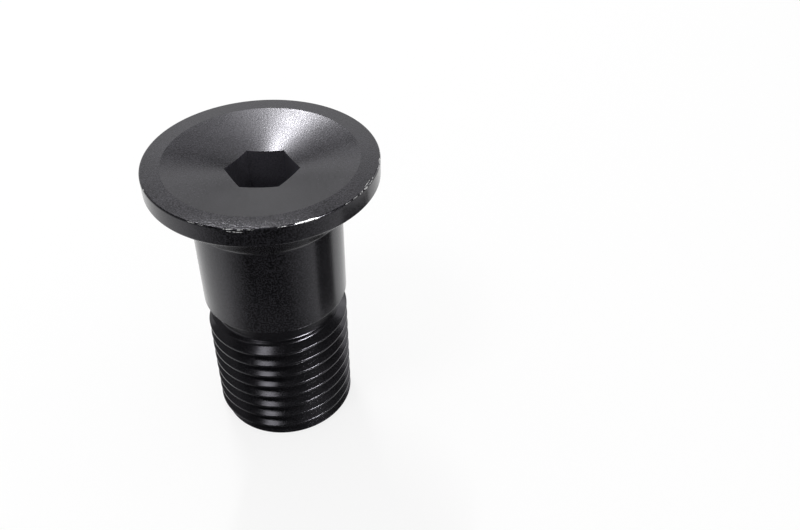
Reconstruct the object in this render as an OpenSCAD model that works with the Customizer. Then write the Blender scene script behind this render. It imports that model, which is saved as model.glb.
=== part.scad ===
// Pivot bolt: one turned piece with a flat countersunk head, a dished face with a
// hexagon socket, a plain bearing shank, and a thread that starts behind a run-out groove.
// Its axis is Z. It stands on its threaded end, with the origin at the middle of that end.

/* [Head] */
// Diameter of the head
head_d = 18.2; // [16:0.1:24]
// Height of the head's straight rim
rim_h = 1.5; // [0.8:0.1:3]
// Chamfer round the rim's upper edge
rim_chamfer = 0.15; // [0.05:0.05:0.4]
// Edge break between the rim and the seat
seat_break = 0.08; // [0.02:0.02:0.2]
// Full angle of the conical seat under the head, in degrees
seat_angle = 90; // [80:1:120]
// Fillet between the seat and the shank
seat_fillet_r = 0.4; // [0.1:0.1:1]

/* [Drive] */
// Diameter of the dish in the head's face
dish_d = 15.2; // [10:0.1:15.7]
// Slope of the dish's wall, in degrees from the face
dish_slope = 11.5; // [5:0.1:15]
// Hexagon socket, across its flats
socket_af = 5.07; // [4:0.01:6.1]
// Depth of the socket's flats, from the head's face
socket_depth = 5; // [3:0.1:8]
// Turn of the socket about the bolt's axis, in degrees
socket_turn = 1; // [0:0.5:59]
// How much smaller than its flats the drilled hole under the socket is
drill_undersize = 0.18; // [0.05:0.01:0.5]
// Point angle of that drill, in degrees
drill_point = 118; // [90:1:140]

/* [Shank] */
// Diameter of the plain shank
shank_d = 12; // [12:0.01:15]
// Length of the plain shank, from the seat to the shoulder
shank_l = 8.2; // [4:0.1:30]
// Edge break at the shoulder
shoulder_break = 0.15; // [0.05:0.05:0.5]

/* [Thread] */
// Outer diameter of the thread
thread_d = 11.9; // [9:0.05:11.95]
// Length of the threaded end, from the shoulder to the tip
thread_l = 12.5; // [6:0.1:30]
// Depth of the run-out groove, below the thread's crests
groove_depth = 0.75; // [0.4:0.05:1.2]
// Width of the run-out groove, at its bottom
groove_w = 1.5; // [0.8:0.1:3]
// Slope of the groove's lower wall, in degrees from square to the axis
groove_flank = 30; // [10:1:45]
// Corner radius at the bottom of the groove, against the shoulder
groove_corner_r = 0.3; // [0.1:0.05:0.35]
// Chamfer round the tip
tip_chamfer = 0.35; // [0.2:0.05:1.5]

/* [Hidden] */
// Facets round a full turn
$fn = 144;
// How far a cut runs past the surface it opens, and a fillet reaches into the metal behind it
overcut = 0.5;
fillet_root = 0.1;

head_r = head_d / 2;
dish_r = dish_d / 2;
shank_r = shank_d / 2;
thread_r = thread_d / 2;
groove_r = thread_r - groove_depth;

// Heights, from the tip upwards
shoulder_z = thread_l;
groove_low_z = shoulder_z - groove_w;
thread_top_z = groove_low_z - groove_depth * tan(groove_flank);
seat_low_z = shoulder_z + shank_l;
seat_h = (head_r - shank_r) / tan(seat_angle / 2);
rim_low_z = seat_low_z + seat_h;
face_z = rim_low_z + rim_h;

// The dish is a straight cone, and the socket's walls cut it before its apex.
dish_apex_h = dish_r * tan(dish_slope);
socket_corner_d = socket_af / cos(30);
socket_low_z = face_z - socket_depth;
drill_r = (socket_af - drill_undersize) / 2;
drill_tip_h = drill_r / tan(drill_point / 2);

// The arc between the seat and the shank touches each of them this far from their corner.
seat_touch = seat_fillet_r * tan(seat_angle / 4);

// Half section of the blank as it leaves the lathe, tip at the bottom
module turned_section() {
    polygon([
        [0, 0],
        [thread_r - tip_chamfer, 0],
        [thread_r, tip_chamfer],
        [thread_r, thread_top_z],
        [groove_r, groove_low_z],
        [groove_r, shoulder_z],
        [shank_r - shoulder_break, shoulder_z],
        [shank_r, shoulder_z + shoulder_break],
        [shank_r, seat_low_z],
        [head_r - seat_break * tan(seat_angle / 2), rim_low_z - seat_break],
        [head_r, rim_low_z + seat_break],
        [head_r, face_z - rim_chamfer],
        [head_r - rim_chamfer, face_z],
        [0, face_z]
    ]);
}

// Fillet in a concave corner: the arc touches both walls, at p and q, and root lies in the metal.
module corner_fillet(p, q, root, centre, r) {
    difference() {
        polygon([p, q, root]);
        translate(centre) circle(r = r);
    }
}

module seat_fillet_section() {
    corner_fillet(
        p = [shank_r, seat_low_z - seat_touch],
        q = [shank_r + seat_touch * sin(seat_angle / 2), seat_low_z + seat_touch * cos(seat_angle / 2)],
        root = [shank_r - fillet_root, seat_low_z + fillet_root],
        centre = [shank_r + seat_fillet_r, seat_low_z - seat_touch],
        r = seat_fillet_r
    );
}

module groove_fillet_section() {
    corner_fillet(
        p = [groove_r, shoulder_z - groove_corner_r],
        q = [groove_r + groove_corner_r, shoulder_z],
        root = [groove_r - fillet_root, shoulder_z + fillet_root],
        centre = [groove_r + groove_corner_r, shoulder_z - groove_corner_r],
        r = groove_corner_r
    );
}

module turned_blank() {
    rotate_extrude() {
        turned_section();
        seat_fillet_section();
        groove_fillet_section();
    }
}

// Shallow cone that leads a key down to the socket
module dish() {
    translate([0, 0, face_z - dish_apex_h]) cylinder(h = dish_apex_h, r1 = 0, r2 = dish_r);
    translate([0, 0, face_z]) cylinder(h = overcut, r = dish_r);
}

// Six flats broached into a drilled hole, whose conical end is left under them
module hexagon_socket() {
    translate([0, 0, socket_low_z]) {
        rotate([0, 0, socket_turn]) cylinder(h = socket_depth + overcut, d = socket_corner_d, $fn = 6);
        cylinder(h = overcut, r = drill_r);
        translate([0, 0, -drill_tip_h]) cylinder(h = drill_tip_h, r1 = 0, r2 = drill_r);
    }
}

module pivot_bolt() {
    color([0.09, 0.085, 0.095]) difference() {
        turned_blank();
        dish();
        hexagon_socket();
    }
}

pivot_bolt();
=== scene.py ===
import math

import bpy
from mathutils import Euler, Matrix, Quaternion, Vector


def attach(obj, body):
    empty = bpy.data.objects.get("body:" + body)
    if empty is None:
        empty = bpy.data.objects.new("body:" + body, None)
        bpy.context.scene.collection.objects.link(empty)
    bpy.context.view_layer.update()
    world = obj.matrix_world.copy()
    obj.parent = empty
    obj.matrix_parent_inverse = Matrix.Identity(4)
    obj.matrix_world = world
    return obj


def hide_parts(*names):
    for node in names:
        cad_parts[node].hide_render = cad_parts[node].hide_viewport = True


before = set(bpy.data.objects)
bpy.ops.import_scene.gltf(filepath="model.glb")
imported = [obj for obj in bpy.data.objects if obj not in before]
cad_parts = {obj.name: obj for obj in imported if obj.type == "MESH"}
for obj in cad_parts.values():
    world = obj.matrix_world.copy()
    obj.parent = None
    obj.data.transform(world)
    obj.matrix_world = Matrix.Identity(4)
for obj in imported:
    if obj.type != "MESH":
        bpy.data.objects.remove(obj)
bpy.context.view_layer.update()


# Blank: the bolt is turned from one bar of aluminium. Its half section is drawn point by point,
# from the dish in the face down to the tip, and spun round the axis. Edges that a turner breaks
# are small arcs, and the corners of the seat and of the run-out groove have their fillets.
MM = 0.001
TURNS = 256
HEAD_R, DISH_R, SHANK_R, THREAD_R, GROOVE_R = 9.1, 7.6, 6.0, 5.95, 5.2
FACE_Z, RIM_LOW_Z, SEAT_LOW_Z, SHOULDER_Z = 25.3, 23.8, 20.7, 12.5
GROOVE_LOW_Z, THREAD_TOP_Z, TIP_CHAMFER = 11.0, 10.567, 0.35
DISH_SLOPE, DISH_FLOOR_R, TIP_FLAT_R = math.radians(11.5), 1.6, 4
RIM_ROUND, SEAT_EDGE_ROUND, SHOULDER_ROUND, TIP_ROUND = 0.15, 0.19, 0.15, 0.08
SEAT_FILLET, GROOVE_FILLET, GROOVE_LOW_FILLET, THREAD_TOP_ROUND = 0.4, 0.3, 0.2, 0.06
dish_floor_z = FACE_Z - (DISH_R - DISH_FLOOR_R) * math.tan(DISH_SLOPE)

# Each corner is its radius, its height and the radius of its round, in millimetres.
corners = [
    (DISH_FLOOR_R, dish_floor_z, 0),
    (DISH_R, FACE_Z, 0),
    (HEAD_R, FACE_Z, RIM_ROUND),
    (HEAD_R, RIM_LOW_Z, SEAT_EDGE_ROUND),
    (SHANK_R, SEAT_LOW_Z, SEAT_FILLET),
    (SHANK_R, SHOULDER_Z, SHOULDER_ROUND),
    (GROOVE_R, SHOULDER_Z, GROOVE_FILLET),
    (GROOVE_R, GROOVE_LOW_Z, GROOVE_LOW_FILLET),
    (THREAD_R, THREAD_TOP_Z, THREAD_TOP_ROUND),
    (THREAD_R, TIP_CHAMFER, TIP_ROUND),
    (THREAD_R - TIP_CHAMFER, 0, TIP_ROUND),
    (TIP_FLAT_R, 0, 0),
]


def rounded(corners, hold=0.02, step=9):
    """Points of the half section, with an arc and a holding point on both sides at each round."""
    points = [Vector(corners[0][:2])]
    for before, here, after in zip(corners, corners[1:], corners[2:]):
        corner, radius = Vector(here[:2]), here[2]
        if not radius:
            points.append(corner)
            continue
        back = (Vector(before[:2]) - corner).normalized()
        ahead = (Vector(after[:2]) - corner).normalized()
        half = back.angle(ahead) / 2
        reach = radius / math.tan(half)
        centre = corner + (back + ahead).normalized() * radius / math.sin(half)
        first, last = corner + back * reach - centre, corner + ahead * reach - centre
        count = math.ceil((180 - 2 * math.degrees(half)) / step)
        points.append(corner + back * (reach + hold))
        points += [centre + radius * first.slerp(last, i / count) for i in range(count + 1)]
        points.append(corner + ahead * (reach + hold))
    return points + [Vector(corners[-1][:2])]


def draw(points, name):
    """Draws a line of edges in the XZ plane by extruding one vertex step by step."""
    bpy.ops.object.select_all(action="DESELECT")
    bpy.ops.mesh.primitive_plane_add(size=MM, location=(0, 0, 0), enter_editmode=True)
    bpy.context.object.name = bpy.context.object.data.name = name
    bpy.ops.mesh.merge(type="CENTER")
    last = (0, 0)
    for number, point in enumerate(points):
        step = ((point[0] - last[0]) * MM, 0, (point[1] - last[1]) * MM)
        if number == 0:
            bpy.ops.transform.translate(value=step)
        else:
            bpy.ops.mesh.extrude_region_move(TRANSFORM_OT_translate={"value": step})
        last = point
    return bpy.context.object


def close(weld=1e-7):
    """Merges the seams, caps the open ends and turns the faces outwards."""
    bpy.ops.mesh.select_all(action="SELECT")
    bpy.ops.mesh.remove_doubles(threshold=weld)
    bpy.ops.mesh.fill_holes(sides=0)
    bpy.ops.mesh.select_all(action="SELECT")
    bpy.ops.mesh.normals_make_consistent(inside=False)
    bpy.ops.object.mode_set(mode="OBJECT")


bolt = draw(rounded(corners), "turned_bolt")
bpy.ops.mesh.select_all(action="SELECT")
bpy.ops.mesh.spin(steps=TURNS, angle=math.tau, center=(0, 0, 0), axis=(0, 0, 1))
close()


# Finish: the whole bolt is anodised black, with a purple cast where it mirrors white. The film
# has a fine grain and shows the lathe's marks under it: rings on the face, and rings round the
# sides. In front, the flat ring has been knocked, and the film is dented and rubbed there.
FILM_DARK, FILM_PALE = (0.0005, 0.0005, 0.0007), (0.016, 0.0155, 0.0185)
FILM_RUBBED, FILM_CAST = (0.3, 0.3, 0.31), (0.92, 0.9, 1, 1)
GRAIN_SCALE, CLOUD_SCALE, KNOCK_SCALE = 7.5, 0.35, 3.6
KNOCKED_FROM, KNOCKED_TO, KNOCKED_FADE = -124, -56, 20
KNOCK_DEPTH, RUBBED_SHARE = 0.05, 0.08


class Wire:
    """A socket of a shader tree. Sums on it add Math nodes, and node() adds any other."""

    def __init__(self, tree, socket=None):
        self.tree, self.socket = tree, socket

    def node(self, kind, settings=None, sockets=None, output=0):
        made = self.tree.nodes.new(kind)
        for name, value in (settings or {}).items():
            setattr(made, name, value)
        for name, value in (sockets or {}).items():
            if isinstance(value, Wire):
                self.tree.links.new(value.socket, made.inputs[name])
            else:
                made.inputs[name].default_value = value
        return Wire(self.tree, made.outputs[output])

    def math(self, operation, *values):
        return self.node("ShaderNodeMath", {"operation": operation}, dict(enumerate(values)))

    def __add__(self, other):
        return self.math("ADD", self, other)

    def __sub__(self, other):
        return self.math("SUBTRACT", self, other)

    def __rsub__(self, other):
        return self.math("SUBTRACT", other, self)

    def __mul__(self, other):
        return self.math("MULTIPLY", self, other)

    def __truediv__(self, other):
        return self.math("DIVIDE", self, other)

    def __pow__(self, other):
        return self.math("POWER", self, other)

    __radd__, __rmul__ = __add__, __mul__

    def clip(self):
        return self.math("MINIMUM", self.math("MAXIMUM", self, 0), 1)

    def between(self, low, high, soft):
        """1 between low and high, and 0 past them, with soft sides."""
        return ((self - low) / soft).clip() * ((high - self) / soft).clip()

    def parts(self, count):
        """The first parts of a vector: X, Y and Z."""
        return [self.node("ShaderNodeSeparateXYZ", None, {0: self}, i) for i in range(count)]

    def tint(self, low, high):
        """A colour mixed from two, by this factor. The first may be a colour's wire."""
        low = low if isinstance(low, Wire) else (*low, 1)
        return self.node("ShaderNodeMix", {"data_type": "RGBA"}, {0: self, 6: low, 7: (*high, 1)}, 2)

    def feed(self, socket):
        self.tree.links.new(self.socket, socket)


def anodised(name, roughness, mark_axis, mark_depth, mark_scale, grain_depth=0.003,
             speckle=4.5, painted_light_scale=1, knocked=False, specular=0.31):
    """The black film. Depths are in millimetres, and scales are per millimetre. The factor on the
    film's tone makes one part's film paler or darker than another's: painted light and shade.
    """
    made = bpy.data.materials.new(name)
    made.use_nodes = True
    shader = made.node_tree.nodes["Principled BSDF"]
    here = Wire(made.node_tree).node("ShaderNodeTexCoord", output="Object")
    here = here.node("ShaderNodeVectorMath", {"operation": "SCALE"}, {0: here, "Scale": 1 / MM})
    x, y, z = here.parts(3)
    radius = (x * x + y * y) ** 0.5
    grain = here.node("ShaderNodeTexNoise", None, {"Vector": here, "Scale": GRAIN_SCALE, "Detail": 2})
    cloud = here.node("ShaderNodeTexNoise", None, {"Vector": here, "Scale": CLOUD_SCALE, "Detail": 2})
    along = radius if mark_axis == "radius" else z
    marks = here.node("ShaderNodeTexNoise", {"noise_dimensions": "1D"},
                      {"W": along, "Scale": mark_scale, "Detail": 2})
    tone = ((grain - 0.5) * speckle + 0.5 + (cloud - 0.5) * 0.6).clip()
    # Painted light and shade: the film's tone is scaled paler or darker for each part.
    colour = tone.tint([painted_light_scale * v for v in FILM_DARK], [painted_light_scale * v for v in FILM_PALE])
    rough = roughness + (grain - 0.5) * 0.12 + (cloud - 0.5) * 0.08
    height = grain * grain_depth + marks * mark_depth
    if knocked:
        azimuth = here.math("ARCTAN2", y, x) * math.degrees(1)
        band = azimuth.between(KNOCKED_FROM, KNOCKED_TO, KNOCKED_FADE) * (radius - DISH_R).clip()
        knocks = here.node("ShaderNodeTexNoise", None,
                           {"Vector": here, "Scale": KNOCK_SCALE, "Detail": 4})
        height = height + knocks * band * KNOCK_DEPTH
        colour = (((knocks - 0.55) * 6).clip() * band * RUBBED_SHARE).tint(colour, FILM_RUBBED)
    colour.feed(shader.inputs["Base Color"])
    rough.feed(shader.inputs["Roughness"])
    here.node("ShaderNodeBump", None, {"Height": height, "Distance": MM}).feed(shader.inputs["Normal"])
    shader.inputs["Specular IOR Level"].default_value = specular
    shader.inputs["Specular Tint"].default_value = FILM_CAST
    return made


# Painted light and shade: the face's film is painted about twice as pale as the sides', and the
# thread's is a little darker, for how light falls on them.
face_finish = anodised("anodised_face", 0.2, "radius", 0.0016, 9, speckle=2.2, painted_light_scale=1.8,
                       knocked=True, specular=0.29)
side_finish = anodised("anodised_side", 0.2, "height", 0.0008, 7, painted_light_scale=0.85)
thread_finish = anodised("anodised_thread", 0.2, "height", 0.0005, 7, 0.0004, 1, painted_light_scale=0.8)


def finish_of(face, margin=1e-6):
    """The finish that a face of the blank takes: the face's, the thread's or the side's."""
    if face.normal.z > 0.9 and face.center.z > dish_floor_z * MM - margin:
        return face_finish
    return thread_finish if face.center.z < SHOULDER_Z * MM - margin else side_finish


for number, finish in enumerate((face_finish, side_finish, thread_finish)):
    bolt.data.materials.append(finish)
    bpy.ops.object.mode_set(mode="EDIT")
    bpy.ops.mesh.select_all(action="DESELECT")
    bpy.ops.object.mode_set(mode="OBJECT")
    for face in bolt.data.polygons:
        face.select = finish_of(face) == finish
    bpy.ops.object.mode_set(mode="EDIT")
    bolt.active_material_index = number
    bpy.ops.object.material_slot_assign()
    bpy.ops.object.mode_set(mode="OBJECT")


# Nicks: the rim's upper edge has been knocked, and each knock has chipped the anodising off,
# down to the bare aluminium. They are small hollows, cut by stretched balls.
NICKS = (
    # azimuth, half length, half width, turn in degrees, way down the rim or in on the face
    (-115.5, 0.45, 0.03, 0, 0), (-110.5, 0.30, 0.03, 2, 0), (-99.8, 0.22, 0.05, -14, 0),
    (-97.6, 0.36, 0.06, 4, 0), (-94.8, 0.75, 0.05, -2, 0.22), (-92.6, 0.26, 0.05, 8, 0),
    (-88.0, 0.40, 0.02, 0, 0), (-74.0, 0.60, 0.02, 0, 0), (-63.4, 1.50, 0.10, -1, 0),
    (-61.4, 0.85, 0.14, -2, 0), (-40.5, 0.50, 0.025, 0, 0), (-35.5, 0.36, 0.04, 0, 0),
    (-31.0, 0.26, 0.075, 8, 0), (-26.5, 0.32, 0.08, -6, 0), (-23.4, 0.50, 0.035, 3, -0.2),
    (-22.0, 0.55, 0.03, 0, 0), (-18.0, 0.10, 0.07, 0, -0.1), (-9.0, 0.50, 0.03, 0, 0),
    (-2.6, 0.50, 0.13, 0, 0), (4.2, 0.45, 0.03, 0, 0), (38.0, 0.24, 0.04, 0, 0),
    (142.0, 0.20, 0.04, 0, 0), (-152.0, 0.18, 0.04, 0, 0),
)
NICK_DEPTH, NICK_LIFT, EDGE_GAP = 0.7, 0.3, 0.062
METAL_DARK, METAL_PALE, METAL_SCALE = (0.06, 0.06, 0.065), (0.5, 0.5, 0.5), 6000

bare = bpy.data.materials.new("bare_aluminium")
bare.use_nodes = True
shader = bare.node_tree.nodes["Principled BSDF"]
metal = Wire(bare.node_tree).node("ShaderNodeTexCoord", output="Object")
scuff = metal.node("ShaderNodeTexNoise", None, {"Vector": metal, "Scale": METAL_SCALE, "Detail": 3})
scuff = ((scuff - 0.5) * 3 + 0.5).clip()
(scuff * 0.4 + 0.15).feed(shader.inputs["Roughness"])
scuff.tint(METAL_DARK, METAL_PALE).feed(shader.inputs["Base Color"])
shader.inputs["Metallic"].default_value = 0.5


def cut(body, cutter):
    """Takes the cutter's shape out of the body, and the cutter away."""
    bpy.ops.object.select_all(action="DESELECT")
    bpy.context.view_layer.objects.active = body
    body.select_set(True)
    bpy.ops.object.modifier_add(type="BOOLEAN")
    tool = body.modifiers[-1]
    tool.operation, tool.solver, tool.object = "DIFFERENCE", "EXACT", cutter
    tool.material_mode = "TRANSFER"
    bpy.ops.object.modifier_apply(modifier=tool.name)
    bpy.data.objects.remove(cutter)


def nick_ball(azimuth, half_length, half_width, turn, down):
    """A ball on the rim's edge, or further down the rim, or with down under 0 in on the face."""
    around = math.radians(azimuth)
    lean = 45 if down == 0 else 90 if down > 0 else 0
    out = (NICK_LIFT * half_width - EDGE_GAP) * math.sqrt(0.5) if down == 0 else 0
    reach, height = HEAD_R + min(down, 0) + out, FACE_Z - max(down, 0) + out
    facing = Euler((0, math.radians(lean), around)).to_quaternion()
    facing = facing @ Quaternion((0, 0, 1), math.radians(turn))
    bpy.ops.mesh.primitive_ico_sphere_add(
        subdivisions=3, radius=MM, scale=(half_width, half_length, half_width * NICK_DEPTH),
        location=(reach * math.cos(around) * MM, reach * math.sin(around) * MM, height * MM),
        rotation=facing.to_euler())
    bpy.context.object.data.materials.append(bare)
    return bpy.context.object


# Balls that are cut together may not overlap, and neighbours can, so every third one is taken.
for row in (NICKS[::3], NICKS[1::3], NICKS[2::3]):
    balls = [nick_ball(*nick) for nick in row]
    for ball in balls:
        ball.select_set(True)
    bpy.ops.object.join()
    cut(bolt, bpy.context.object)


# Socket: a hexagon for a key. Six flats are broached into a drilled hole, down through the
# dish, so each flat ends in a bowed edge. The drill's cone is left under them.
SOCKET_AF, SOCKET_DEPTH, SOCKET_TURN = 5.07, 5.0, 1.0
DRILL_R = SOCKET_AF / 2 - 0.09
DRILL_TIP = DRILL_R / math.tan(math.radians(59))
BROACH_L, DRILL_L = SOCKET_DEPTH + 1, 1
socket_low_z = FACE_Z - SOCKET_DEPTH
# Painted light: the socket's film is painted much paler than the rest, to lift the hollow out of its
# shade.
socket_finish = anodised("anodised_socket", 0.35, "height", 0.002, 4, speckle=1, painted_light_scale=6)

bpy.ops.object.select_all(action="DESELECT")
bpy.ops.mesh.primitive_cylinder_add(
    vertices=6, radius=SOCKET_AF / 2 / math.cos(math.pi / 6) * MM, depth=BROACH_L * MM,
    location=(0, 0, (socket_low_z + BROACH_L / 2) * MM),
    rotation=(0, 0, math.radians(30 + SOCKET_TURN)))
bpy.context.object.data.materials.append(socket_finish)
cut(bolt, bpy.context.object)

bpy.ops.mesh.primitive_cylinder_add(
    vertices=96, radius=DRILL_R * MM, depth=DRILL_L * MM,
    location=(0, 0, (socket_low_z + DRILL_L / 2) * MM), enter_editmode=True)
drill = bpy.context.object
drill.data.materials.append(socket_finish)
bpy.ops.mesh.select_all(action="DESELECT")
bpy.ops.object.mode_set(mode="OBJECT")
for face in drill.data.polygons:
    face.select = face.normal.z < -0.5
bpy.ops.object.mode_set(mode="EDIT")
bpy.ops.mesh.extrude_region_move(TRANSFORM_OT_translate={"value": (0, 0, -DRILL_TIP * MM)})
bpy.ops.mesh.merge(type="CENTER")
close()
cut(bolt, drill)


# Thread: right-handed, 12 by 1.25, cut into the turned end before it is anodised. A 60 degree
# V runs from below the tip up into the run-out groove. Its root is round, and its mouth
# flares, which rounds the thread's crests.
PITCH, THREAD_TURNS, THREAD_STEPS, THREAD_END_Z = 1.25, 10, 128, 11.52
ROOT_R, CREST_ROUND, MOUTH_PAST = 5.215, 0.08, 0.03


def arc(radius_at, height_at, radius, start, end, steps):
    """Points of an arc in the half section, between two angles in degrees."""
    turns = [math.radians(start + (end - start) * i / steps) for i in range(steps + 1)]
    return [(radius_at + radius * math.cos(t), height_at + radius * math.sin(t)) for t in turns]


flank_slope = math.tan(math.radians(30))
half_mouth = PITCH / 2 - PITCH / 16
crest_arc_z = half_mouth + CREST_ROUND * flank_slope
root_round = half_mouth - (THREAD_R - ROOT_R) * flank_slope
root_round /= 1 / math.cos(math.radians(30)) - flank_slope
v_side = arc(THREAD_R - CREST_ROUND, crest_arc_z, CREST_ROUND, -8, -60, 6)
v_side.insert(0, (THREAD_R + MOUTH_PAST, v_side[0][1]))
v_line = v_side + arc(ROOT_R + root_round, 0, root_round, 120, 240, 14)
v_line += [(r, -z) for r, z in reversed(v_side)]
start_z = THREAD_END_Z - PITCH * THREAD_TURNS
cutter = draw([(-r, start_z + z) for r, z in v_line], "thread_cutter")
cutter.data.materials.append(thread_finish)
bpy.ops.mesh.select_all(action="SELECT")
bpy.ops.mesh.edge_face_add()
bpy.ops.mesh.delete(type="ONLY_FACE")
bpy.ops.object.mode_set(mode="OBJECT")
bpy.ops.object.modifier_add(type="SCREW")
helix = cutter.modifiers[-1]
helix.axis, helix.angle, helix.screw_offset = "Z", math.tau, PITCH * MM
helix.iterations, helix.steps, helix.render_steps = THREAD_TURNS, THREAD_STEPS, THREAD_STEPS
bpy.ops.object.modifier_apply(modifier=helix.name)
bpy.ops.object.mode_set(mode="EDIT")
close()
cut(bolt, cutter)


# Whole bolt: the turned surfaces are smooth, and edges stay crisp where the metal turns
# sharply and all round each bare nick. It stands on its tip, in one rigid piece.
CRISP_ANGLE = math.radians(10.5)

bpy.ops.object.shade_smooth_by_angle(angle=CRISP_ANGLE)
bpy.ops.object.mode_set(mode="EDIT")
bpy.ops.mesh.select_mode(type="FACE")
bpy.ops.mesh.select_all(action="DESELECT")
bolt.active_material_index = bolt.data.materials.find(bare.name)
bpy.ops.object.material_slot_select()
bpy.ops.mesh.mark_sharp(clear=True)
bpy.ops.mesh.region_to_loop()
bpy.ops.mesh.mark_sharp()
bpy.ops.object.mode_set(mode="OBJECT")
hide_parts("pivot_bolt")
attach(bolt, "root")


# Floor: a plain sheet of white paper, laid flat under the bolt. What the camera and the
# reflections see of it is partly its own white, so it keeps a soft shadow.
FLOOR_SIZE, OWN_WHITE = 3, 0.8

bpy.ops.object.select_all(action="DESELECT")
bpy.ops.mesh.primitive_plane_add(size=FLOOR_SIZE, location=(0, 0, 0))
floor = bpy.context.object
floor.name = "floor"
paper = bpy.data.materials.new("white_paper")
paper.use_nodes = True
paper.node_tree.nodes.clear()


def seen_directly(start):
    """1 for what the camera sees, by itself, mirrored or through something, and 0 otherwise."""
    rays = [start.node("ShaderNodeLightPath", output=ray)
            for ray in ("Is Camera Ray", "Is Glossy Ray", "Is Transmission Ray")]
    return (rays[0] + rays[1] + rays[2]).clip()


start = Wire(paper.node_tree)
direct = seen_directly(start)
matt = start.node("ShaderNodeBsdfDiffuse", None, {"Color": (0.9, 0.9, 0.9, 1)})
glow = start.node("ShaderNodeEmission", None, {"Color": (1, 1, 1, 1), "Strength": 1})
both = start.node("ShaderNodeMixShader", None, {0: direct * OWN_WHITE, 1: matt, 2: glow})
both.feed(paper.node_tree.nodes.new("ShaderNodeOutputMaterial").inputs["Surface"])
floor.data.materials.append(paper)


# Cards: painted board, as is stood round any glossy black thing that is photographed. Dark ones
# stand in front, hang overhead and stand beside, and a white one stands behind. The sheet that
# lies on the floor is painted shade: it darkens what the gloss mirrors of the floor in front and
# round the foot, with the bolt's own shadow painted in. Only the bolt's gloss sees them, and
# they cast no shadow.
def card(name, width, length, place, turn, tone):
    """A sheet, in millimetres and degrees. Its tone is a number, or is found from the place on it."""
    bpy.ops.mesh.primitive_plane_add(size=MM)
    made = bpy.context.object
    made.name = name
    made.scale = (width, length, 1)
    made.location = Vector(place) * MM
    made.rotation_euler = [math.radians(angle) for angle in turn]
    sheet = bpy.data.materials.new(name)
    sheet.use_nodes = True
    sheet.node_tree.nodes.clear()
    start = Wire(sheet.node_tree)
    if callable(tone):
        grey = tone(start.node("ShaderNodeNewGeometry", output="Position"))
    else:
        grey = (tone, tone, tone, 1)
    glow = start.node("ShaderNodeEmission", None, {"Color": grey, "Strength": 1})
    glow.feed(sheet.node_tree.nodes.new("ShaderNodeOutputMaterial").inputs["Surface"])
    made.data.materials.append(sheet)
    made.visible_camera = made.visible_diffuse = made.visible_shadow = False
    made.visible_transmission = made.visible_volume_scatter = False


def painted_floor_shade(place):
    """White, with painted shade in what the gloss mirrors of the floor: dark in a soft-sided wedge in
    front, a little lighter in a band round the foot, and darkest in the ring that the groove mirrors,
    where the bolt's own shadow is painted.
    """
    x, y = place.parts(2)
    azimuth = place.math("ARCTAN2", y, x) * math.degrees(1)
    radius = (x * x + y * y) ** 0.5
    sides = place.math("MAXIMUM", ((-113 - azimuth) / 40).clip(), ((azimuth + 72) / 50).clip())
    foot = radius.between(0.0155, 0.0245, 0.003) * 0.27
    from_groove = ((x - 0.0002) ** 2 + (y + 0.0014) ** 2) ** 0.5
    lit = place.math("MAXIMUM", place.math("MAXIMUM", sides * 1.2, foot), 0.1)
    return lit * (1 - from_groove.between(0.0145, 0.0171, 0.0004) * 0.9)


def banded(place):
    """White, with a lighter band that the dish's sides mirror, under a darker one for the ring."""
    x, y, z = place.parts(3)
    tone = ((z - 0.22) / 0.1).clip() * ((0.37 - z) / 0.05).clip() * 1.3 + 0.85
    tone = tone - z.between(0.355, 0.46, 0.04) * 0.62
    tone = tone - x.between(-0.16, 0.01, 0.04) * z.between(0.35, 0.46, 0.04) * 0.15
    return tone + ((z - 0.46) / 0.15).clip() * 1.1 + ((x - 0.3) / 0.1).clip() * 1.5


# Painted shade: the sheet on the floor darkens the floor's reflection in front and paints the bolt's
# shadow round its foot.
card("painted_floor_shade_sheet", 400, 400, (0, 0, 0.3), (0, 0, 0), painted_floor_shade)
card("card_right", 10.6, 17, (18, -1.7, 8.5), (90, 0, 90), 0.08)
card("card_behind", 2000, 900, (0, 500, 450), (90, 0, 0), banded)
card("card_over", 600, 485, (0, -57, 300), (0, 0, 0), 0.03)
card("card_ahead", 600, 300, (0, -300, 150), (90, 0, 0), 0.03)
card("card_beside_left", 500, 260, (-300, -50, 170), (90, 0, 90), 0.3)
card("card_beside_right", 500, 260, (300, -50, 170), (90, 0, 90), 0.12)


# Light: flat lamps on stands, in a white room. A narrow one behind the head makes the fan of
# light on the dish, a wide dim one the glow round it, and two more light the front and right.
ROOM_LIGHT = 0.7

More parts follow.
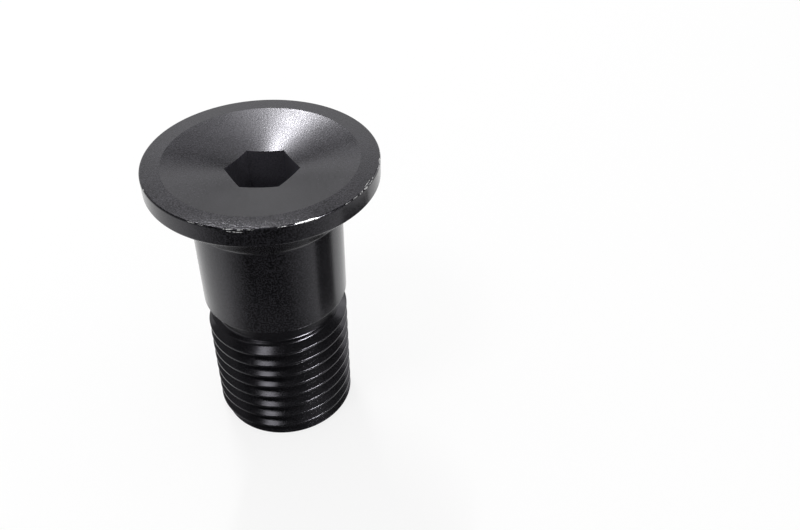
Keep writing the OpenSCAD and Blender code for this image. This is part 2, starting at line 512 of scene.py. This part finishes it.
room = bpy.data.worlds.new("studio")
bpy.context.scene.world = room
room.use_nodes = True
room.node_tree.nodes.clear()
start = Wire(room.node_tree)
direct = seen_directly(start)
soft = start.node("ShaderNodeBackground", None, {"Color": (1, 1, 1, 1), "Strength": ROOM_LIGHT})
white = start.node("ShaderNodeBackground", None, {"Color": (1, 1, 1, 1), "Strength": 1})
both = start.node("ShaderNodeMixShader", None, {0: direct, 1: soft, 2: white})
both.feed(room.node_tree.nodes.new("ShaderNodeOutputWorld").inputs["Surface"])


def lamp(name, azimuth, elevation, distance, width, length, level, turn=0, glossy=False):
    """A flat lamp, in metres, that faces the head. Its level is its brightness beside white."""
    a, e = math.radians(azimuth), math.radians(elevation)
    aim = Vector((0, 0, 0.02))
    way = Vector((math.cos(a) * math.cos(e), math.sin(a) * math.cos(e), math.sin(e)))
    bpy.ops.object.light_add(type="AREA", location=aim + way * distance)
    made = bpy.context.object
    made.name = name
    faces_head = way.to_track_quat("Z", "Y") @ Quaternion((0, 0, 1), math.radians(turn))
    made.rotation_euler = faces_head.to_euler()
    made.data.shape, made.data.size, made.data.size_y = "RECTANGLE", width, length
    made.data.energy = level * math.pi * width * length
    made.visible_camera, made.visible_diffuse = False, not glossy


lamp("key", 111, 54, 0.4, 0.008, 0.12, 160, turn=-35)
lamp("glow", 110, 54, 0.41, 0.11, 0.11, 3.2)
lamp("top", -131, 60, 0.25, 0.055, 0.055, 10)
lamp("right", -41, 33, 0.25, 0.085, 0.07, 110, glossy=True)


# Camera: about 7 cm from the bolt and looking down on it, as the photograph was taken. Its
# place, turn and lens were found by fitting the outline, and it has no depth of field.
CAMERA_PLACE, CAMERA_TURN = (0.0101346, -0.0570674, 0.0614876), (50.6425, -0.0505, -0.4093)
CAMERA_LENS, SENSOR_WIDTH = 39.675, 36

bpy.ops.object.camera_add(
    location=CAMERA_PLACE, rotation=[math.radians(angle) for angle in CAMERA_TURN])
camera = bpy.context.object
camera.data.sensor_width, camera.data.lens = SENSOR_WIDTH, CAMERA_LENS
camera.data.clip_start = 0.001
bpy.context.scene.camera = camera
bpy.context.scene.view_settings.view_transform = "Standard"
